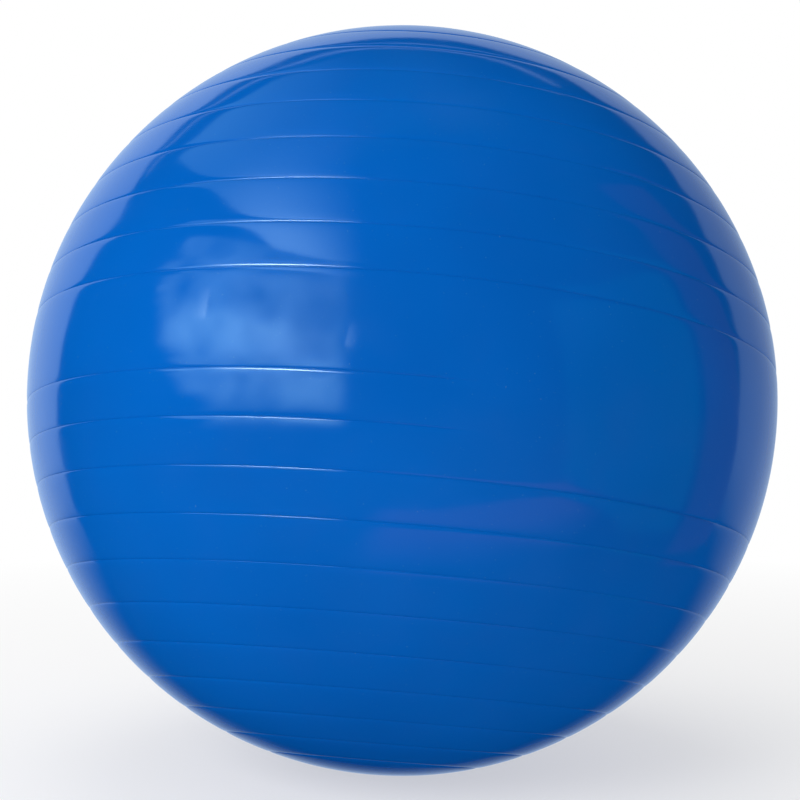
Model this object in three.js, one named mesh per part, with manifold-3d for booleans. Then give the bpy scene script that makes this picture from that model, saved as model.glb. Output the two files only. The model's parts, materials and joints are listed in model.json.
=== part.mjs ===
// Exercise ball, inflated and resting on the floor, with its valve closed.
// Millimetres, +Z up. The origin is the centre of the patch that presses on the floor.
//
// The skin is one hollow moulding, round about its moulding axis. Tension rings, shallow
// creases in the blown-up skin, run around that axis, and the valve sits on it. The ball
// lies with the axis leaning back (+Y) and a little to the right (+X).

import * as THREE from 'three';
import { mergeVertices } from 'three/addons/utils/BufferGeometryUtils.js';
import Module from 'manifold-3d';

const wasm = await Module();
wasm.setup();

const DEG = Math.PI / 180;

// ---- driving dimensions -------------------------------------------------------------

const ball_diameter = 650;         // over the plain skin, at working pressure
const skin_wall = 0.8;
const floor_patch_radius = 38;     // the skin presses flat on the floor inside this
const lean_back = 14 * DEG;        // of the moulding axis, towards +Y
const lean_right = 4.6 * DEG;      // of the moulding axis, towards +X

const ring_width = 4.2;            // along the skin, edge to edge of the crease
const ring_depth = 0.5;
const first_ring = 6.65 * DEG;     // latitude of the rings beside the plain middle band
const ring_pitch = 6.25 * DEG;     // spacing next to the middle band
const upper_spread = 0.18 * DEG;   // growth of the spacing towards the valve
const lower_spread = 0.05 * DEG;   // growth of the spacing towards the closed end
const upper_rings = 9;
const lower_rings = 11;

const panel_rings = 2;             // rings below the middle band that stop at the panel
const panel_middle = 50 * DEG;     // longitude of the plain panel, from -Y towards +X
const panel_half = 43 * DEG;

const valve_pad_radius = 25;       // the skin is flat and thicker around the valve
const valve_pad_wall = 1.8;
const valve_hole_radius = 11;
const clearance = 0.3;             // between touching pieces

const seat_flange_radius = 20;
const seat_flange_wall = 1.5;
const seat_neck_radius = 8;
const seat_length = 23;            // from the outer face to the neck's end
const seat_bore_radius = 4.4;
const head_recess_radius = 8.8;
const head_recess_depth = 2.6;

const plug_head_radius = 8.4;
const plug_head_wall = 2.2;
const plug_stem_radius = 3.5;      // between the barbs
const plug_tip_radius = 2.6;
const plug_barb_height = 0.6;
const plug_barbs = 4;
const plug_length = 24;            // underside of the head to the tip

const around = 48;                 // facets around the skin
const floor_rows_below = -55 * DEG; // closer rows of facets below this latitude
const end_cap_rows = 3;            // bands of facets between the last ring and the pole
const around_valve = 24;           // facets around the small valve pieces

// ---- shared values ------------------------------------------------------------------

const radius = ball_diameter / 2;
const centre_height = Math.sqrt(radius ** 2 - floor_patch_radius ** 2);
const pad_height = Math.sqrt(radius ** 2 - valve_pad_radius ** 2);
const half_ring = ring_width / 2 / radius;

const ring_latitude = (n, spread) => first_ring + ring_pitch * n + spread * n ** 2;
const at_latitude = (r, latitude) =>
	new THREE.Vector2(r * Math.cos(latitude), r * Math.sin(latitude));

// The rows of points around the skin, from the closed end up to the valve. A row is a ring,
// or a plain row that keeps the skin round near the floor and in the two end caps.
const skin_rows = [];
const add_ring = (latitude, stops) => skin_rows.push({ latitude, ring: true, stops });
const add_plain = (latitude) => skin_rows.push({ latitude, ring: false, stops: false });

const lowest_ring = -ring_latitude(lower_rings - 1, lower_spread);
const highest_ring = ring_latitude(upper_rings - 1, upper_spread);
const pad_edge = Math.acos(valve_pad_radius / radius);
for (let n = 1; n < end_cap_rows; n++) {
	add_plain(THREE.MathUtils.lerp(-Math.PI / 2, lowest_ring, n / end_cap_rows));
}
for (let n = lower_rings - 1; n >= 0; n--) {
	const latitude = -ring_latitude(n, lower_spread);
	add_ring(latitude, n < panel_rings);
	const next = -ring_latitude(n - 1, lower_spread);
	if (latitude < floor_rows_below) add_plain((latitude + next) / 2);
}
for (let n = 0; n < upper_rings; n++) add_ring(ring_latitude(n, upper_spread), false);
for (let n = 1; n < end_cap_rows; n++) {
	add_plain(THREE.MathUtils.lerp(highest_ring, pad_edge, n / end_cap_rows));
}

// The frame of the moulding: its origin is the ball's centre, its +Z the moulding axis.
const moulding = new THREE.Group();
moulding.position.z = centre_height;
moulding.rotation.set(-lean_back, lean_right, 0);
moulding.updateMatrixWorld(true);

// ---- helpers ------------------------------------------------------------------------

function turned(profile, facets) {
	const geometry = new THREE.LatheGeometry(profile, facets);
	geometry.rotateX(Math.PI / 2);     // the lathe turns about Y, the pieces about Z
	return geometry;
}

function to_solid(geometry) {
	const shape = geometry.clone();
	shape.deleteAttribute('normal');
	shape.deleteAttribute('uv');
	const merged = mergeVertices(shape, 1e-4);
	const triangles = [];
	const index = merged.index.array;
	for (let i = 0; i < index.length; i += 3) {
		const [a, b, c] = index.slice(i, i + 3);
		if (a !== b && b !== c && c !== a) triangles.push(a, b, c);
	}
	return new wasm.Manifold(new wasm.Mesh({
		numProp: 3,
		vertProperties: new Float32Array(merged.attributes.position.array),
		triVerts: new Uint32Array(triangles),
	}));
}

function to_geometry(solid) {
	const mesh = solid.getMesh();
	const geometry = new THREE.BufferGeometry();
	geometry.setAttribute('position', new THREE.BufferAttribute(mesh.vertProperties, 3));
	geometry.setIndex(new THREE.BufferAttribute(mesh.triVerts, 1));
	geometry.computeVertexNormals();
	return geometry;
}

function named(name, geometry, material) {
	const mesh = new THREE.Mesh(geometry, material);
	mesh.name = name;
	return mesh;
}

// ---- skin ---------------------------------------------------------------------------

function outside_of_skin() {
	const profile = [new THREE.Vector2(0, -radius)];
	for (const row of skin_rows) {
		if (row.ring) profile.push(at_latitude(radius, row.latitude - half_ring));
		profile.push(at_latitude(row.ring ? radius - ring_depth : radius, row.latitude));
		if (row.ring) profile.push(at_latitude(radius, row.latitude + half_ring));
	}
	profile.push(new THREE.Vector2(valve_pad_radius, pad_height));
	profile.push(new THREE.Vector2(0, pad_height));
	return turned(profile, around);
}

// The rings beside the panel fade into the plain skin within it.
function clear_panel(geometry) {
	const position = geometry.attributes.position;
	const point = new THREE.Vector3();
	for (let i = 0; i < position.count; i++) {
		point.fromBufferAttribute(position, i);
		const from_middle = Math.abs(Math.atan2(point.x, -point.y) - panel_middle);
		const latitude = Math.asin(point.z / point.length());
		const on_stopped_ring = skin_rows.some(
			(row) => row.stops && Math.abs(row.latitude - latitude) < half_ring / 2);
		if (on_stopped_ring && from_middle < panel_half) {
			point.setLength(radius);
			position.setXYZ(i, point.x, point.y, point.z);
		}
	}
	return geometry;
}

function inside_of_skin() {
	const inner_radius = radius - skin_wall;
	const profile = [new THREE.Vector2(0, -inner_radius)];
	for (const row of skin_rows) profile.push(at_latitude(inner_radius, row.latitude));
	profile.push(new THREE.Vector2(valve_pad_radius, pad_height - valve_pad_wall));
	profile.push(new THREE.Vector2(0, pad_height - valve_pad_wall));
	return turned(profile, around);
}

// Everything below the given height, as a block.
function below(height) {
	const block = new THREE.BoxGeometry(ball_diameter, ball_diameter, ball_diameter);
	block.translate(0, 0, height - ball_diameter / 2);
	return to_solid(block);
}

function build_skin() {
	const outside = clear_panel(outside_of_skin()).applyMatrix4(moulding.matrixWorld);
	const inside = inside_of_skin().applyMatrix4(moulding.matrixWorld);
	const hole = new THREE.CylinderGeometry(
		valve_hole_radius, valve_hole_radius, 8 * valve_pad_wall, around_valve);
	hole.rotateX(Math.PI / 2);
	hole.translate(0, 0, pad_height);
	hole.applyMatrix4(moulding.matrixWorld);
	const full = to_solid(outside).subtract(below(0));
	const air = to_solid(inside).subtract(below(skin_wall));
	return to_geometry(full.subtract(air).subtract(to_solid(hole)));
}

// ---- valve --------------------------------------------------------------------------

// A collar in the hole of the skin, with a flange under the skin and a neck inside.
function build_seat() {
	const top = pad_height;
	const collar_radius = valve_hole_radius - clearance;
	const flange_top = pad_height - valve_pad_wall - clearance;
	const recess_floor = top - head_recess_depth;
	const end = top - seat_length;
	const outline = [
		[seat_bore_radius, end],
		[seat_neck_radius - 1, end],
		[seat_neck_radius, end + 1],
		[seat_neck_radius, flange_top - seat_flange_wall - 2],
		[seat_neck_radius + 2, flange_top - seat_flange_wall],
		[seat_flange_radius, flange_top - seat_flange_wall],
		[seat_flange_radius, flange_top],
		[collar_radius, flange_top],
		[collar_radius, top],
		[head_recess_radius, top],
		[head_recess_radius, recess_floor],
		[seat_bore_radius, recess_floor],
		[seat_bore_radius, end],
	];
	return turned(outline.map(([r, z]) => new THREE.Vector2(r, z)), around_valve);
}

// A push-in plug: a round flat head, and a stem with barbs that grip the bore.
function build_plug() {
	const head_under = pad_height - head_recess_depth + clearance;
	const head_top = head_under + plug_head_wall;
	const tip = head_under - plug_length;
	const barb_pitch = plug_length / (plug_barbs + 2);
	const outline = [[0, tip], [plug_tip_radius - 0.6, tip], [plug_tip_radius, tip + 0.8]];
	for (let n = 1; n <= plug_barbs; n++) {
		const z = tip + barb_pitch * n;
		const r = THREE.MathUtils.lerp(plug_tip_radius, plug_stem_radius, n / plug_barbs);
		outline.push([r, z - barb_pitch / 3]);
		outline.push([r + plug_barb_height, z + barb_pitch / 4]);
		outline.push([r, z + barb_pitch / 3]);
	}
	outline.push(
		[plug_stem_radius, head_under],
		[plug_head_radius, head_under],
		[plug_head_radius, head_top - 0.6],
		[plug_head_radius - 0.6, head_top],
		[plug_head_radius - 3, head_top],
		[plug_head_radius - 4, head_top - 0.7],
		[0, head_top - 0.7],
	);
	return turned(outline.map(([r, z]) => new THREE.Vector2(r, z)), around_valve);
}

// ---- materials and the assembly -----------------------------------------------------

const blue_skin = new THREE.MeshStandardMaterial({
	color: new THREE.Color(0.0, 0.11, 0.48), roughness: 0.22, metalness: 0 });
const blue_seat = new THREE.MeshStandardMaterial({
	color: new THREE.Color(0.0, 0.08, 0.36), roughness: 0.45, metalness: 0 });
const white_plug = new THREE.MeshStandardMaterial({
	color: new THREE.Color(0.86, 0.86, 0.84), roughness: 0.4, metalness: 0 });

const exercise_ball = new THREE.Group();
exercise_ball.add(named('ball_shell', build_skin(), blue_skin));
moulding.add(named('valve_seat', build_seat(), blue_seat));
moulding.add(named('valve_plug', build_plug(), white_plug));
exercise_ball.add(moulding);

export default exercise_ball;
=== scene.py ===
import json
import math

import bmesh
import bpy
import mathutils
from mathutils import Matrix, Vector


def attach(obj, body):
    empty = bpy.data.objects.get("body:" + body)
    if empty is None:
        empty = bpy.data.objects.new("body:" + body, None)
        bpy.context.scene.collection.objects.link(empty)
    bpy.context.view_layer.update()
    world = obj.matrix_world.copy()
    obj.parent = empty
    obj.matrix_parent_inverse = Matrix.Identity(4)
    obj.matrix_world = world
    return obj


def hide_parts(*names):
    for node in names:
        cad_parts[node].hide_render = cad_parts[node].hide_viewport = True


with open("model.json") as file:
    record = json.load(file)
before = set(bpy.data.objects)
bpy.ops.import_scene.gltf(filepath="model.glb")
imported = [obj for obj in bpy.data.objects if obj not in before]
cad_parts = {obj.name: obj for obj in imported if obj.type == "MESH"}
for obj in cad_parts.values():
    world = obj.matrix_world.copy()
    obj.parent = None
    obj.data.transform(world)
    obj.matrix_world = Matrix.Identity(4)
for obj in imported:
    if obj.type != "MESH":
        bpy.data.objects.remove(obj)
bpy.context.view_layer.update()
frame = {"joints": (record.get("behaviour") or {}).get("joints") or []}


# ---- ball skin ----------------------------------------------------------------------
# One hollow moulding of soft PVC, turned in a heated mould until the melt has covered it.
# Tension rings hold the blown-up skin in along fine creases on both sides of a plain middle
# band, and two of them stop short of a plain panel.

skin_radius = 0.325
skin_wall = 0.0008
floor_patch_radius = 0.038         # the skin presses flat on the floor inside this
ring_dip = 0.00042                 # the skin sinks this far towards a ring,
ring_reach = 0.0024                # over about this distance on either side,
crease_depth = 0.00034             # and a finer crease runs along the bottom
crease_reach = 0.00042
first_ring = math.radians(6.65)    # latitude of the rings beside the middle band
ring_pitch = math.radians(6.25)
upper_spread = math.radians(0.18)  # growth of the pitch towards the valve
lower_spread = math.radians(0.05)  # growth of the pitch towards the closed end
panel_middle = math.radians(50)    # longitude, from -Y towards +X
panel_half = math.radians(43)
panel_fade = math.radians(2.2)
valve_pad_radius = 0.025
valve_pad_wall = 0.0018
valve_pad_recess = 0.0004
valve_hole_radius = 0.011
facets_around_skin = 168

# The moulding axis is the line that the plug pulls out along.
axis = Vector(frame["joints"][0]["axis"])
ball_centre = Vector((0, 0, math.sqrt(skin_radius**2 - floor_patch_radius**2)))
lean_back = Matrix.Rotation(-math.atan2(axis.y, axis.z), 4, "X")
lean_right = Matrix.Rotation(math.asin(axis.x), 4, "Y")
as_it_lies = Matrix.Translation(ball_centre) @ lean_back @ lean_right
pad_height = math.sqrt(skin_radius**2 - valve_pad_radius**2)
skin_edge = math.acos((valve_pad_radius + 0.004) / skin_radius)  # the ringed skin ends here


def calculate(tree, operation, *values):
    """A math node; each value is a number or the socket of another node."""
    node = tree.nodes.new("ShaderNodeMath")
    node.operation = operation
    for socket, value in zip(node.inputs, values):
        if isinstance(value, bpy.types.NodeSocket):
            tree.links.new(value, socket)
        else:
            socket.default_value = value
    return node.outputs[0]


def new_geometry_tree(name, sizes):
    """A node tree with one named number input for each of sizes."""
    tree = bpy.data.node_groups.new(name, "GeometryNodeTree")
    for label in sizes:
        tree.interface.new_socket(label, in_out="INPUT", socket_type="NodeSocketFloat")
    return tree, tree.nodes.new("NodeGroupInput").outputs


def make_latitude_rule():
    """Place 1, 2, 3 is the first, second, third ring above the middle; -1, -2, -3 below."""
    sizes = ("Place", "First Ring", "Ring Pitch", "Upper Spread", "Lower Spread")
    tree, given = new_geometry_tree("latitude of a ring", sizes)
    tree.interface.new_socket("Latitude", in_out="OUTPUT", socket_type="NodeSocketFloat")
    steps = calculate(tree, "ABSOLUTE", given["Place"])
    above = calculate(tree, "GREATER_THAN", given["Place"], 0)
    more = calculate(tree, "SUBTRACT", given["Upper Spread"], given["Lower Spread"])
    spread = calculate(tree, "MULTIPLY_ADD", above, more, given["Lower Spread"])
    beyond = calculate(tree, "MAXIMUM", calculate(tree, "SUBTRACT", steps, 1), 0)
    growth = calculate(tree, "MULTIPLY_ADD", beyond, spread, given["Ring Pitch"])
    ringed_part = calculate(tree, "MULTIPLY", beyond, growth)
    near = calculate(tree, "MINIMUM", steps, 1)
    total = calculate(tree, "MULTIPLY_ADD", near, given["First Ring"], ringed_part)
    signed = calculate(tree, "MULTIPLY", total, calculate(tree, "SIGN", given["Place"]))
    tree.links.new(signed, tree.nodes.new("NodeGroupOutput").inputs["Latitude"])
    return tree


def make_ringed_skin_tree():
    """The outside of the skin about +Z, round its own centre, open at the valve."""
    sizes = ("Skin Radius", "Upper Rings", "Lower Rings", "First Ring", "Ring Pitch",
             "Upper Spread", "Lower Spread", "Ring Dip", "Ring Reach", "Crease Depth",
             "Crease Reach",
             "Panel Rings", "Panel Middle",
             "Panel Half Width", "Panel Fade", "Skin Edge", "Rows per Ring", "Facets Around")
    tree, given = new_geometry_tree("ringed skin", sizes)
    tree.interface.new_socket("Material", in_out="INPUT", socket_type="NodeSocketMaterial")
    tree.interface.new_socket("Skin", in_out="OUTPUT", socket_type="NodeSocketGeometry")
    rule = make_latitude_rule()

    def latitude_at(place):
        group = tree.nodes.new("GeometryNodeGroup")
        group.node_tree = rule
        tree.links.new(place, group.inputs["Place"])
        for label in ("First Ring", "Ring Pitch", "Upper Spread", "Lower Spread"):
            tree.links.new(given[label], group.inputs[label])
        return group.outputs["Latitude"]

    def dip(distance, depth, reach):
        share = calculate(tree, "DIVIDE", distance, calculate(tree, "MULTIPLY", reach, -1))
        return calculate(tree, "MULTIPLY", calculate(tree, "EXPONENT", share), depth)

    # A grid with a row of points for each latitude and a column for each longitude.
    plain_places_below, plain_places_above = 3, 3
    places = calculate(tree, "ADD", given["Lower Rings"], given["Upper Rings"])
    places = calculate(tree, "ADD", places, plain_places_below + plain_places_above)
    grid = tree.nodes.new("GeometryNodeMeshGrid")
    columns = calculate(tree, "ADD", given["Facets Around"], 1)
    rows = calculate(tree, "MULTIPLY_ADD", places, given["Rows per Ring"], 1)
    tree.links.new(rows, grid.inputs["Vertices X"])
    tree.links.new(columns, grid.inputs["Vertices Y"])
    index = tree.nodes.new("GeometryNodeInputIndex").outputs[0]
    row = calculate(tree, "FLOOR", calculate(tree, "DIVIDE", index, columns))
    column = calculate(tree, "SUBTRACT", index, calculate(tree, "MULTIPLY", row, columns))

    # The rows crowd together at each ring.
    first_place = calculate(tree, "ADD", given["Lower Rings"], plain_places_below)
    even_place = calculate(tree, "DIVIDE", row, given["Rows per Ring"])
    even_place = calculate(tree, "SUBTRACT", even_place, first_place)
    ring_number = calculate(tree, "ROUND", even_place)
    aside = calculate(tree, "MULTIPLY", calculate(tree, "SUBTRACT", even_place, ring_number), 2)
    steep = calculate(tree, "POWER", calculate(tree, "ABSOLUTE", aside), 4)
    steep = calculate(tree, "MULTIPLY", steep, calculate(tree, "SIGN", aside))
    place = calculate(tree, "MULTIPLY_ADD", aside, 0.035, ring_number)
    place = calculate(tree, "MULTIPLY_ADD", steep, 0.465, place)
    latitude = calculate(tree, "MINIMUM", latitude_at(place), given["Skin Edge"])
    latitude = calculate(tree, "MAXIMUM", latitude, -math.pi / 2)
    longitude = calculate(tree, "DIVIDE", column, given["Facets Around"])
    longitude = calculate(tree, "MULTIPLY_ADD", longitude, 2 * math.pi, -math.pi)

    # Which rows belong to a ring, and where a ring gives way to the panel.
    from_ring = calculate(tree, "SUBTRACT", latitude, latitude_at(ring_number))
    from_ring = calculate(tree, "ABSOLUTE", from_ring)
    from_ring = calculate(tree, "MULTIPLY", from_ring, given["Skin Radius"])
    lowest = calculate(tree, "MULTIPLY", given["Lower Rings"], -1)
    lowest = calculate(tree, "SUBTRACT", lowest, 0.5)
    highest = calculate(tree, "ADD", given["Upper Rings"], 0.5)
    above_lowest = calculate(tree, "GREATER_THAN", ring_number, lowest)
    below_highest = calculate(tree, "LESS_THAN", ring_number, highest)
    in_middle = calculate(tree, "COMPARE", ring_number, 0, 0.5)
    is_ring = calculate(tree, "MULTIPLY", above_lowest, below_highest)
    is_ring = calculate(tree, "MULTIPLY", is_ring, calculate(tree, "SUBTRACT", 1, in_middle))
    last_stopped = calculate(tree, "MULTIPLY", given["Panel Rings"], -1)
    last_stopped = calculate(tree, "SUBTRACT", last_stopped, 0.5)
    stops = calculate(tree, "GREATER_THAN", ring_number, last_stopped)
    stops = calculate(tree, "MULTIPLY", stops, calculate(tree, "LESS_THAN", ring_number, 0))
    from_panel = calculate(tree, "SUBTRACT", longitude, given["Panel Middle"])
    from_panel = calculate(tree, "ABSOLUTE", from_panel)
    inside = calculate(tree, "SUBTRACT", given["Panel Half Width"], from_panel)
    inside = calculate(tree, "DIVIDE", inside, given["Panel Fade"])
    panel = tree.nodes.new("ShaderNodeMapRange")
    panel.interpolation_type = "SMOOTHSTEP"
    tree.links.new(inside, panel.inputs["Value"])
    kept = calculate(tree, "SUBTRACT", 1, calculate(tree, "MULTIPLY", stops, panel.outputs[0]))

    drawn_in = dip(from_ring, given["Ring Dip"], given["Ring Reach"])
    crease = dip(from_ring, given["Crease Depth"], given["Crease Reach"])
    drawn_in = calculate(tree, "ADD", drawn_in, crease)
    drawn_in = calculate(tree, "MULTIPLY", drawn_in, calculate(tree, "MULTIPLY", is_ring, kept))
    radius = calculate(tree, "SUBTRACT", given["Skin Radius"], drawn_in)

    out = calculate(tree, "MULTIPLY", radius, calculate(tree, "COSINE", latitude))
    rightwards = calculate(tree, "SINE", longitude)
    backwards = calculate(tree, "MULTIPLY", calculate(tree, "COSINE", longitude), -1)
    upwards = calculate(tree, "SINE", latitude)
    point = tree.nodes.new("ShaderNodeCombineXYZ")
    tree.links.new(calculate(tree, "MULTIPLY", out, rightwards), point.inputs["X"])
    tree.links.new(calculate(tree, "MULTIPLY", out, backwards), point.inputs["Y"])
    tree.links.new(calculate(tree, "MULTIPLY", radius, upwards), point.inputs["Z"])
    placed = tree.nodes.new("GeometryNodeSetPosition")
    tree.links.new(grid.outputs["Mesh"], placed.inputs["Geometry"])
    tree.links.new(point.outputs[0], placed.inputs["Position"])

    merged = tree.nodes.new("GeometryNodeMergeByDistance")
    merged.inputs["Distance"].default_value = 2e-6
    outwards = tree.nodes.new("GeometryNodeFlipFaces")
    realized = tree.nodes.new("GeometryNodeRealizeInstances")
    finish = tree.nodes.new("GeometryNodeSetMaterial")
    end = tree.nodes.new("NodeGroupOutput")
    tree.links.new(placed.outputs[0], merged.inputs["Geometry"])
    tree.links.new(merged.outputs[0], outwards.inputs["Mesh"])
    tree.links.new(outwards.outputs[0], realized.inputs["Geometry"])
    tree.links.new(realized.outputs[0], finish.inputs["Geometry"])
    tree.links.new(given["Material"], finish.inputs["Material"])
    tree.links.new(finish.outputs[0], end.inputs["Skin"])
    return tree


def grown_by(tree, name, values):
    """A plain mesh object made by a node tree, with the tree's inputs set by name."""
    piece = bpy.data.objects.new(name, bpy.data.meshes.new(name))
    bpy.context.scene.collection.objects.link(piece)
    nodes = piece.modifiers.new(name, "NODES")
    nodes.node_group = tree
    for item in tree.interface.items_tree:
        if item.in_out == "INPUT" and item.name in values:
            nodes[item.identifier] = values[item.name]
    graph = bpy.context.evaluated_depsgraph_get()
    result = bpy.data.meshes.new_from_object(piece.evaluated_get(graph))
    piece.modifiers.clear()
    piece.data = result
    result.materials.clear()
    result.materials.append(values["Material"])
    return piece


def turned(name, outline, facets, material):
    """A mesh turned about +Z from an outline of (radius, height) points."""
    mesh = bpy.data.meshes.new(name)
    points, faces = [], []
    for radius, height in outline:
        for n in range(facets):
            angle = 2 * math.pi * n / facets - math.pi
            points.append((radius * math.sin(angle), -radius * math.cos(angle), height))
    for row in range(len(outline) - 1):
        for n in range(facets):
            a, b = row * facets + n, row * facets + (n + 1) % facets
            faces.append((a, b, b + facets, a + facets))
    mesh.from_pydata(points, [], faces)
    mesh.materials.append(material)
    piece = bpy.data.objects.new(name, mesh)
    bpy.context.scene.collection.objects.link(piece)
    return piece


def rounded(outline, corner, steps=4):
    """The same outline with its corners rounded; each corner is cut back by up to corner."""
    smooth = [outline[0]]
    for before, here, after in zip(outline, outline[1:], outline[2:]):
        here, before, after = Vector(here), Vector(before), Vector(after)
        to_before, to_after = before - here, after - here
        back = min(corner, to_before.length * 0.45, to_after.length * 0.45)
        start = here + to_before.normalized() * back
        stop = here + to_after.normalized() * back
        for n in range(steps + 1):
            share = n / steps
            bend = start.lerp(here, share).lerp(here.lerp(stop, share), share)
            smooth.append(tuple(bend))
    smooth.append(outline[-1])
    return smooth


def welded(piece, others=()):
    """Joins others to piece and closes it: doubles merged, normals outward, smooth."""
    whole = bmesh.new()
    for part in (piece, *others):
        whole.from_mesh(part.data)
    bmesh.ops.remove_doubles(whole, verts=whole.verts, dist=5e-6)
    bmesh.ops.dissolve_degenerate(whole, edges=whole.edges, dist=1e-7)
    bmesh.ops.recalc_face_normals(whole, faces=whole.faces)
    whole.to_mesh(piece.data)
    whole.free()
    for part in others:
        bpy.data.objects.remove(part)
    piece.data.shade_smooth()
    return piece


def new_material(name):
    material = bpy.data.materials.new(name)
    material.use_nodes = True
    tree = material.node_tree
    place = tree.nodes.new("ShaderNodeTexCoord").outputs["Object"]
    return material, tree, tree.nodes["Principled BSDF"], place


def noise(tree, place, size, detail=2.0, roughness=0.5):
    """Noise whose blotches are about size across, in metres."""
    node = tree.nodes.new("ShaderNodeTexNoise")
    node.inputs["Scale"].default_value = 1 / size
    node.inputs["Detail"].default_value = detail
    node.inputs["Roughness"].default_value = roughness
    tree.links.new(place, node.inputs["Vector"])
    return node.outputs["Fac"]


def between(tree, value, low, high, to_low, to_high):
    """Maps low..high to to_low..to_high, and holds it there outside."""
    node = tree.nodes.new("ShaderNodeMapRange")
    for label, number in zip(("From Min", "From Max", "To Min", "To Max"),
                             (low, high, to_low, to_high)):
        node.inputs[label].default_value = number
    tree.links.new(value, node.inputs["Value"])
    return node.outputs[0]


def blended(tree, share, first, second):
    """A colour between two; each is a colour or the socket of another node."""
    node = tree.nodes.new("ShaderNodeMix")
    node.data_type = "RGBA"
    tree.links.new(share, node.inputs["Factor"])
    for socket, colour in ((node.inputs[6], first), (node.inputs[7], second)):
        if isinstance(colour, bpy.types.NodeSocket):
            tree.links.new(colour, socket)
        else:
            socket.default_value = (*colour, 1)
    return node.outputs[2]


def bumped(tree, heights):
    """Bump nodes in a row, one for each (height socket, depth in metres)."""
    normal = None
    for height, depth in heights:
        node = tree.nodes.new("ShaderNodeBump")
        node.inputs["Distance"].default_value = depth
        tree.links.new(height, node.inputs["Height"])
        if normal is not None:
            tree.links.new(normal, node.inputs["Normal"])
        normal = node.outputs[0]
    return normal


def make_skin_pvc():
    """Glossy blue PVC: even pigment, faint clouding, handling smears and a few specks."""
    material, tree, shader, place = new_material("skin_pvc")
    clouds = between(tree, noise(tree, place, 0.16), 0.35, 0.65, 0, 1)
    blue = blended(tree, clouds, (0.0001, 0.089, 0.402), (0.0001, 0.098, 0.434))
    smears = noise(tree, place, 0.045, detail=5, roughness=0.65)
    grain = noise(tree, place, 0.004, detail=2)
    specks = between(tree, noise(tree, place, 0.0016, detail=1), 0.76, 0.80, 0, 1)
    tree.links.new(blended(tree, specks, blue, (0.05, 0.16, 0.42)), shader.inputs["Base Color"])
    gloss = between(tree, smears, 0.42, 0.72, 0.09, 0.14)
    tree.links.new(gloss, shader.inputs["Roughness"])
    shader.inputs["IOR"].default_value = 1.53
    swell = noise(tree, place, 0.07, detail=1)
    normal = bumped(tree, ((swell, 0.00025), (grain, 0.000012)))
    tree.links.new(normal, shader.inputs["Normal"])
    return material


skin_pvc = make_skin_pvc()
ball_skin = grown_by(make_ringed_skin_tree(), "ball_skin", {
    "Skin Radius": skin_radius, "Upper Rings": 9.0, "Lower Rings": 11.0,
    "First Ring": first_ring, "Ring Pitch": ring_pitch,
    "Upper Spread": upper_spread, "Lower Spread": lower_spread,
    "Ring Dip": ring_dip, "Ring Reach": ring_reach,
    "Crease Depth": crease_depth, "Crease Reach": crease_reach,
    "Panel Rings": 2.0, "Panel Middle": panel_middle, "Panel Half Width": panel_half,
    "Panel Fade": panel_fade, "Skin Edge": skin_edge, "Rows per Ring": 18.0,
    "Facets Around": float(facets_around_skin), "Material": skin_pvc})

# From the last row of the ringed skin over the pad, down the hole, and round the inside.
edge_radius = skin_radius * math.cos(skin_edge)
pad_top = pad_height - valve_pad_recess
pad_under = pad_height - valve_pad_wall
pad_outline = rounded([
    (edge_radius, skin_radius * math.sin(skin_edge)),
    (valve_pad_radius + 0.0012, math.sqrt(skin_radius**2 - (valve_pad_radius + 0.0012)**2)),
    (valve_pad_radius, pad_top),
    (valve_hole_radius + 0.0025, pad_top),
    (valve_hole_radius + 0.0015, pad_height),
    (valve_hole_radius, pad_height),
    (valve_hole_radius, pad_under),
    (valve_pad_radius, pad_under)], 0.0005)
inner_radius = skin_radius - skin_wall
inner_rows = 60
inner_start = math.acos((valve_pad_radius + 0.004) / inner_radius)
inside_outline = []
for n in range(inner_rows + 1):
    angle = inner_start + (-math.pi / 2 - inner_start) * n / inner_rows
    inside_outline.append((inner_radius * math.cos(angle), inner_radius * math.sin(angle)))
inside = turned("inside", pad_outline + inside_outline, facets_around_skin, skin_pvc)
welded(ball_skin, [inside])
ball_skin.data.transform(as_it_lies)

# The floor presses the skin flat, with a soft bend where it leaves the floor.
bend = 0.0005
for vertex in ball_skin.data.vertices:
    is_inside = (vertex.co - ball_centre).length < skin_radius - skin_wall / 2
    floor_height = skin_wall if is_inside else 0.0
    above = vertex.co.z - floor_height
    vertex.co.z = floor_height + (above + math.sqrt(above**2 + bend**2)) / 2
ball_skin.data.update()

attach(ball_skin, "ball")
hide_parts("ball_shell")


# ---- valve seat ---------------------------------------------------------------------
# A soft PVC collar that fills the hole of the skin. Its flange is welded under the pad,
# the plug's head lies in its recess, and its neck grips the plug's stem inside the ball.

gap = 0.0003
seat_top = pad_height
collar_radius = valve_hole_radius - gap
flange_top = pad_height - valve_pad_wall - gap
flange_wall = 0.0015
flange_radius = 0.020
neck_radius = 0.008
seat_bore_radius = 0.0044
recess_radius = 0.0088
recess_depth = 0.0026
seat_end = seat_top - 0.023


def make_seat_pvc():
    """The same PVC as the skin, softer and moulded against a matt tool, so less glossy."""
    material, tree, shader, place = new_material("seat_pvc")
    clouds = between(tree, noise(tree, place, 0.006), 0.3, 0.7, 0, 1)
    blue = blended(tree, clouds, (0.001, 0.062, 0.300), (0.002, 0.078, 0.350))
    tree.links.new(blue, shader.inputs["Base Color"])
    dull = between(tree, noise(tree, place, 0.002, detail=4), 0.3, 0.7, 0.34, 0.48)
    tree.links.new(dull, shader.inputs["Roughness"])
    shader.inputs["IOR"].default_value = 1.5
    normal = bumped(tree, ((noise(tree, place, 0.0006, detail=3), 0.00003),))
    tree.links.new(normal, shader.inputs["Normal"])
    return material


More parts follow.
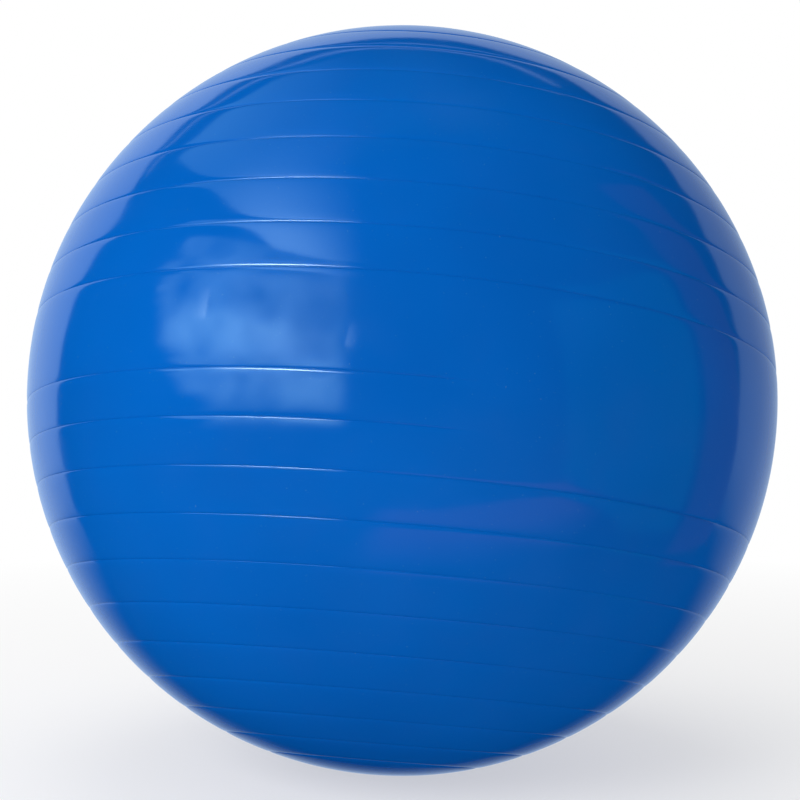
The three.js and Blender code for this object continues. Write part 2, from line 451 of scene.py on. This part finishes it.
seat_outline = rounded([
    (seat_bore_radius, seat_end + 0.008),
    (seat_bore_radius, seat_end),
    (neck_radius - 0.0008, seat_end),
    (neck_radius, seat_end + 0.0012),
    (neck_radius, flange_top - flange_wall - 0.003),
    (neck_radius + 0.002, flange_top - flange_wall),
    (flange_radius, flange_top - flange_wall),
    (flange_radius, flange_top),
    (collar_radius, flange_top),
    (collar_radius, seat_top + 0.0002),
    (recess_radius, seat_top + 0.0002),
    (recess_radius, seat_top - recess_depth),
    (seat_bore_radius, seat_top - recess_depth),
    (seat_bore_radius, seat_end + 0.008)], 0.0005)
valve_collar = turned("valve_collar", seat_outline, 96, make_seat_pvc())
welded(valve_collar)
valve_collar.data.transform(as_it_lies)
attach(valve_collar, "ball")
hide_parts("valve_seat")


# ---- valve plug ---------------------------------------------------------------------
# A push-in plug of white polyethylene, injection moulded in one piece: a round head with
# a thumb dish and a gate mark, and a stem whose barbs hold it in the seat.

head_radius = 0.0084
head_wall = 0.0022
head_under = seat_top - recess_depth + gap
head_top = head_under + head_wall
stem_radius = 0.0035
tip_radius = 0.0026
stem_tip = head_under - 0.024
barb_count = 4
barb_height = 0.0006


def make_plug_plastic():
    """White polyethylene, a little waxy, with faint yellowing and a fine tool texture."""
    material, tree, shader, place = new_material("plug_plastic")
    tone = between(tree, noise(tree, place, 0.007, detail=3), 0.3, 0.7, 0, 1)
    white = blended(tree, tone, (0.80, 0.80, 0.76), (0.87, 0.87, 0.85))
    tree.links.new(white, shader.inputs["Base Color"])
    dull = between(tree, noise(tree, place, 0.0015, detail=4), 0.3, 0.7, 0.30, 0.44)
    tree.links.new(dull, shader.inputs["Roughness"])
    shader.inputs["IOR"].default_value = 1.5
    normal = bumped(tree, ((noise(tree, place, 0.0004, detail=3), 0.00002),))
    tree.links.new(normal, shader.inputs["Normal"])
    return material


plug_outline = [(0, stem_tip), (tip_radius - 0.0008, stem_tip), (tip_radius, stem_tip + 0.001)]
barb_pitch = 0.024 / (barb_count + 2)
for n in range(1, barb_count + 1):
    middle = stem_tip + barb_pitch * n
    radius = tip_radius + (stem_radius - tip_radius) * n / barb_count
    plug_outline += [(radius, middle - barb_pitch / 3),
                     (radius + barb_height, middle + barb_pitch / 4),
                     (radius, middle + barb_pitch / 3)]
plug_outline += [
    (stem_radius, head_under),
    (head_radius, head_under),
    (head_radius, head_top),
    (head_radius - 0.0018, head_top),
    (head_radius - 0.0028, head_top - 0.0007),
    (0.0016, head_top - 0.0009),
    (0.0010, head_top - 0.0005),
    (0, head_top - 0.0005)]
valve_plug = turned("valve_stopper", rounded(plug_outline, 0.0006), 96, make_plug_plastic())
welded(valve_plug)
valve_plug.data.transform(as_it_lies)
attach(valve_plug, "plug")
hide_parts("valve_plug")


# ---- studio -------------------------------------------------------------------------
# A pale floor, a bright room behind the ball, a window and a ceiling bank at the front
# left, and weak cards elsewhere. Cards show in the gloss and not to the camera.

card_steps = 40


def glowing_card(name, corners, light):
    """A card from its lower left, lower right, upper right and upper left corners.

    light(across, up) is the colour at a share of its width and of its height.
    """
    low_left, low_right, high_right, high_left = (Vector(corner) for corner in corners)
    points, faces, colours = [], [], []
    for row in range(card_steps + 1):
        for column in range(card_steps + 1):
            across, up = column / card_steps, row / card_steps
            low = low_left.lerp(low_right, across)
            high = high_left.lerp(high_right, across)
            points.append(low.lerp(high, up))
            colours.append((*light(across, up), 1))
    for row in range(card_steps):
        for column in range(card_steps):
            corner = row * (card_steps + 1) + column
            faces.append((corner, corner + 1, corner + card_steps + 2, corner + card_steps + 1))
    mesh = bpy.data.meshes.new(name)
    mesh.from_pydata(points, [], faces)
    glow = mesh.attributes.new("glow", "FLOAT_COLOR", "POINT")
    for item, colour in zip(glow.data, colours):
        item.color = colour
    material = bpy.data.materials.new(name)
    material.use_nodes = True
    tree = material.node_tree
    tree.nodes.clear()
    colour = tree.nodes.new("ShaderNodeAttribute")
    colour.attribute_name = "glow"
    lit = tree.nodes.new("ShaderNodeEmission")
    tree.links.new(colour.outputs["Color"], lit.inputs["Color"])
    out = tree.nodes.new("ShaderNodeOutputMaterial")
    tree.links.new(lit.outputs[0], out.inputs["Surface"])
    mesh.materials.append(material)
    card = bpy.data.objects.new(name, mesh)
    bpy.context.scene.collection.objects.link(card)
    card.visible_camera = False
    card.visible_diffuse = False
    card.visible_shadow = False


def facing_corners(centre, target, width, height):
    """The corners of an upright card at centre that faces target."""
    facing = (Vector(target) - Vector(centre)).normalized()
    across = facing.cross(Vector((0, 0, 1))).normalized()
    up = across.cross(facing)
    across, up = across * width / 2, up * height / 2
    centre = Vector(centre)
    return centre - across - up, centre + across - up, centre + across + up, centre - across + up


def mixed(first, second, share):
    """A colour part way from the first to the second."""
    share = min(max(share, 0), 1)
    return tuple(a + (b - a) * share for a, b in zip(first, second))


def faded(colour, strength):
    """The colour times a strength, which counts as 0 where it is negative."""
    return tuple(part * max(strength, 0) for part in colour)


def eased(value, low, high):
    """0 at low, 1 at high, smooth between."""
    share = min(max((value - low) / (high - low), 0), 1)
    return share * share * (3 - 2 * share)


def soft_light(name, place, size, power):
    """A square area light on the ball, for the matt surfaces; the cards light the gloss."""
    light = bpy.data.lights.new(name, "AREA")
    light.size = size
    light.energy = power
    lamp = bpy.data.objects.new(name, light)
    lamp.location = place
    lamp.rotation_mode = "QUATERNION"
    lamp.rotation_quaternion = (ball_centre - Vector(place)).to_track_quat("-Z", "Y")
    lamp.visible_glossy = False
    bpy.context.scene.collection.objects.link(lamp)


# The floor whitens into the room with distance. It stays out of the gloss, which would
# otherwise be washed out from below.
floor_half = 30.0
floor_mesh = bpy.data.meshes.new("floor")
floor_mesh.from_pydata([(-floor_half, -floor_half, 0), (floor_half, -floor_half, 0),
                        (floor_half, floor_half, 0), (-floor_half, floor_half, 0)],
                       [], [(0, 1, 2, 3)])
floor = bpy.data.objects.new("floor", floor_mesh)
bpy.context.scene.collection.objects.link(floor)
floor_paint, floor_tree, floor_shader, floor_place = new_material("floor_paint")
floor_shader.inputs["Base Color"].default_value = (0.90, 0.90, 0.905, 1)
floor_shader.inputs["Roughness"].default_value = 1.0
floor_shader.inputs["Specular IOR Level"].default_value = 0.0
floor_distance = floor_tree.nodes.new("ShaderNodeVectorMath")
floor_distance.operation = "LENGTH"
floor_tree.links.new(floor_place, floor_distance.inputs[0])
whitening = between(floor_tree, floor_distance.outputs["Value"], 0.25, 1.3, 0.55, 1.0)
floor_white = floor_tree.nodes.new("ShaderNodeEmission")
floor_white.inputs["Color"].default_value = (1, 1, 1, 1)
floor_blend = floor_tree.nodes.new("ShaderNodeMixShader")
floor_tree.links.new(whitening, floor_blend.inputs["Fac"])
floor_tree.links.new(floor_shader.outputs[0], floor_blend.inputs[1])
floor_tree.links.new(floor_white.outputs[0], floor_blend.inputs[2])
floor_output = floor_tree.nodes["Material Output"]
floor_tree.links.new(floor_blend.outputs[0], floor_output.inputs["Surface"])
floor_mesh.materials.append(floor_paint)
floor.visible_glossy = False


def backdrop_light(across, up):
    """A pale wall, duller to the right and dark towards the floor."""
    side = mixed((0.55, 0.74, 1.02), (0.28, 0.35, 0.48), eased(across, 0.25, 0.8))
    return faded(side, eased(up, 0.0, 0.42))


window_left = Vector((-0.938, -0.293, 0))
window_right = Vector((-0.187, -1.157, 0))
window_width = (window_right - window_left).length
window_height = 1.07
window_overlap = 0.1               # the card starts this far left of where side is 0


def window_glow(side, height):
    """The window's colour; side is from its left edge, height from the floor, in metres."""
    cloud = 1 + mathutils.noise.noise((side * 5.5, height * 5.0, 0.7))
    cloud += 0.5 * mathutils.noise.noise((side * 16, height * 15, 2.7))
    low = eased(height, 0.26, 0.45)
    high = 1 - 0.48 * eased(height, 0.62, 0.78) - 0.22 * eased(height, 0.86, 1.06)
    right = 1 - 0.45 * eased(side, 0.58, 0.72) * eased(height, 0.48, 0.62)
    right *= 1 - eased(side, 0.82, 0.98)
    return faded((1.14, 2.25, 2.75), cloud * low * high * right)


def window_light(across, up):
    """The window itself, with a ragged left edge that slants outwards with height."""
    side, height = across * window_width - window_overlap, up * window_height
    ragged = side + 0.07 - 0.8 * max(0.74 - height, -0.1)
    ragged += 0.16 * mathutils.noise.noise((3.0, height * 13, 0.3))
    ragged += 0.08 * mathutils.noise.noise((7.0, height * 34, 0.3))
    return faded(window_glow(side, height), eased(ragged, -0.02, 0.09))


def ceiling_light(across, up):
    """Bright near the front, duller to the back, and fading out to the right."""
    light = mixed((1.60, 2.80, 3.7), (0.24, 0.58, 0.78), eased(up, 0.12, 0.70))
    return faded(light, eased(1 - across, 0, 0.85))


def lamp_light(across, up):
    """The hot middle of the lamp; its ends are as bright as the window behind them."""
    behind = window_glow(0.25 + 0.65 * across, 0.72 + 0.1 * (up - 0.5))
    return mixed(behind, (20, 28, 32), (1 - (2 * across - 1) ** 2) ** 2)


def flag_light(across, up):
    """What the window shows behind the flag, so that the flag isn't seen against it."""
    side = 0.58 + window_per_flag * flag_width * (across - 0.5)
    height = 0.719 + window_per_flag * flag_height * (up - 0.5)
    return window_glow(side, height)


def dull_violet(across, up):
    """The mat's tint, strongest to the right and faded out at its other edges."""
    from_edge = min(1 - across, up, 1 - up)
    return faded((0.24, 0.0, 0.07), eased(across, 0.1, 0.6) * eased(from_edge, 0, 0.12))


glowing_card("backdrop", [(-6.4, 4, -3.6), (10.1, 4, -3.6), (5.9, 4, 3.0), (-6.4, 4, 4.2)],
             backdrop_light)
glowing_card("ceiling_edge", [(-5.0, 4, 4.40), (2.3, 4, 4.55), (2.3, 4, 4.75), (-5.0, 4, 4.56)],
             lambda across, up: (0.5, 0.68, 0.98))
glowing_card("ceiling_bank", [(-1.45, -1.9, 2.2), (-0.45, -2.4, 2.2),
                              (-0.05, 1.3, 2.2), (-1.8, 1.0, 2.2)], ceiling_light)
window_top = Vector((0, 0, window_height))
glowing_card("window", [window_left, window_right,
                        window_right + window_top, window_left + window_top], window_light)

# The lamp is a bright strip that the rings catch. The flag hides its hot spot on the plain
# band, which it stands close to.
glint_place = (-0.0884, -0.3017, 0.4051)
flag_place = (-0.1333, -0.3579, 0.4401)
flag_width, flag_height = 0.17, 0.048
window_per_flag = 4.2              # how much of the window the flag hides, in flag sizes
glowing_card("lamp", [(-0.684, -0.479, 0.63), (-0.212, -1.023, 0.63),
                      (-0.212, -1.023, 0.74), (-0.684, -0.479, 0.74)], lamp_light)
glowing_card("lamp_flag", facing_corners(flag_place, glint_place, flag_width, flag_height),
             flag_light)
glowing_card("right_panel", [(0.9, -1.0, -0.3), (1.3, -0.1, -0.3),
                             (1.3, -0.1, 1.0), (0.9, -1.0, 1.0)],
             lambda across, up: (0.0, 0.22, 0.40))
glowing_card("right_wall", [(1.5, 0.0, -0.6), (1.9, 0.7, -0.6), (1.9, 0.7, 2.0), (1.5, 0.0, 2.0)],
             lambda across, up: (0.07, 0.0, 0.04))
glowing_card("floor_mat", [(-0.15, -0.46, -0.001), (-0.12, -0.86, -0.001),
                           (0.80, -0.86, -0.001), (0.62, -0.40, -0.001)], dull_violet)

# The room itself: white behind the ball, dark in the gloss, soft on matt faces.
world = bpy.data.worlds.new("room")
bpy.context.scene.world = world
world.use_nodes = True
room = world.node_tree
room.nodes.clear()
kind = room.nodes.new("ShaderNodeLightPath")
shown = None
for ray, colour, strength in ((None, (0.0, 0.3, 0.8), 0.06),
                              ("Is Diffuse Ray", (1, 1, 1), 0.52),
                              ("Is Camera Ray", (1, 1, 1), 1.0)):
    shade = room.nodes.new("ShaderNodeBackground")
    shade.inputs["Color"].default_value = (*colour, 1)
    shade.inputs["Strength"].default_value = strength
    if ray is None:
        shown = shade.outputs[0]
        continue
    choice = room.nodes.new("ShaderNodeMixShader")
    room.links.new(kind.outputs[ray], choice.inputs["Fac"])
    room.links.new(shown, choice.inputs[1])
    room.links.new(shade.outputs[0], choice.inputs[2])
    shown = choice.outputs[0]
room.links.new(shown, room.nodes.new("ShaderNodeOutputWorld").inputs["Surface"])

soft_light("key", (-1.25, -1.75, ball_centre.z + 0.9), 1.2, 34)
soft_light("top", (-0.2, 0.3, ball_centre.z + 1.9), 1.5, 12)


# ---- camera -------------------------------------------------------------------------
# A long lens a little above the middle of the ball.

camera_distance = 5.24 * skin_radius
camera_rise = math.radians(4)
camera = bpy.data.cameras.new("camera")
camera.sensor_width = 36
camera.lens = 86.9
camera.shift_x = -0.0028
camera.shift_y = 0.0006
viewer = bpy.data.objects.new("camera", camera)
back = Vector((0, -math.cos(camera_rise), math.sin(camera_rise)))
viewer.location = ball_centre + back * camera_distance
viewer.rotation_mode = "QUATERNION"
viewer.rotation_quaternion = (-back).to_track_quat("-Z", "Y")
bpy.context.scene.collection.objects.link(viewer)
bpy.context.scene.camera = viewer
bpy.context.scene.view_settings.view_transform = "Standard"
